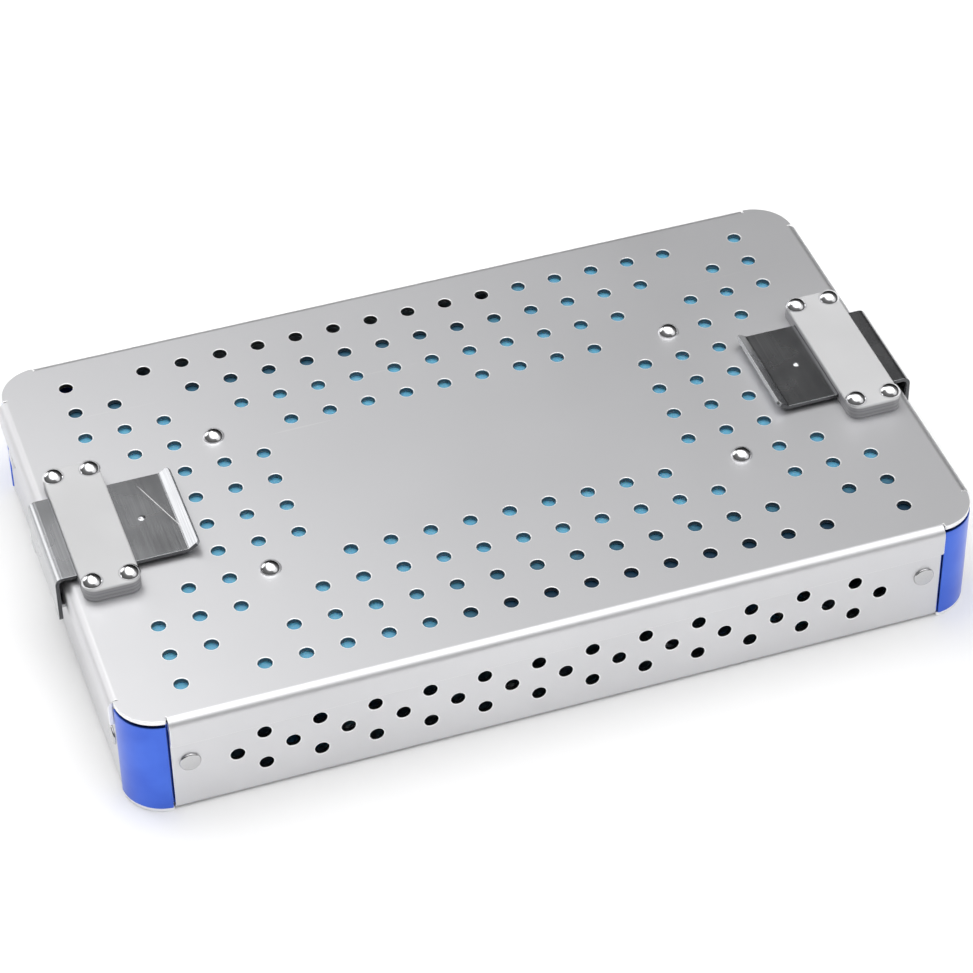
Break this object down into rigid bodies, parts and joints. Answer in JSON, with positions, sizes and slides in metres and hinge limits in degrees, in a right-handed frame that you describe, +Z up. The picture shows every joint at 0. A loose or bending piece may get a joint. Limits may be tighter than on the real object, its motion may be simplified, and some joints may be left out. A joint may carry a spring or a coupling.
{
  "type": "dental instrument cassette",
  "caption": "Perforated folded-sheet instrument cassette with curved blue corner posts, a lift-off lid, sliding end latches, a silicone hold-down mat and silicone racks.",
  "frame": {"origin": "centre of the underside of the tray, on the surface that the case stands on", "axes": "+X along the length towards the right-hand latch, +Y across the width towards the back, +Z up through the lid"},
  "size_m": [0.2192, 0.133, 0.0358],
  "materials": {
    "satin_aluminium": "satin anodised",
    "blue_anodised": "satin blue anodised",
    "aluminium_rivet": "drawn, satin",
    "polished_rivet": "polished",
    "brushed_stainless": "brushed",
    "grey_plastic": "fine moulded",
    "sky_silicone": "moulded silicone"
  },
  "bodies": {
    "base": {"base_tray": "satin_aluminium", "corner_post_front_left": "blue_anodised", "corner_post_front_right": "blue_anodised", "corner_post_back_left": "blue_anodised", "corner_post_back_right": "blue_anodised", "corner_rivets": "aluminium_rivet", "rack_left": "sky_silicone", "rack_right": "sky_silicone", "rack_rivets": "aluminium_rivet", "rack_washers": "aluminium_rivet"},
    "lid": {"lid_cover": "satin_aluminium", "lid_mat": "sky_silicone", "mat_rivets": "polished_rivet", "mat_washers": "aluminium_rivet", "guide_pad_left": "grey_plastic", "guide_pad_right": "grey_plastic", "guide_block_left": "grey_plastic", "guide_block_right": "grey_plastic", "guide_rivets_left": "polished_rivet", "guide_rivets_right": "polished_rivet"},
    "latch_left": {"latch_left": "brushed_stainless"},
    "latch_right": {"latch_right": "brushed_stainless"}
  },
  "joints": [
    {"name": "lid_lift", "type": "slide", "parent": "base", "child": "lid", "axis": [0, 0, 1], "range_m": [0, 0.09]},
    {"name": "latch_left_slide", "type": "slide", "parent": "lid", "child": "latch_left", "axis": [-1, 0, 0], "range_m": [-0.001, 0.0045]},
    {"name": "latch_right_slide", "type": "slide", "parent": "lid", "child": "latch_right", "axis": [1, 0, 0], "range_m": [-0.001, 0.0045]}
  ]
}
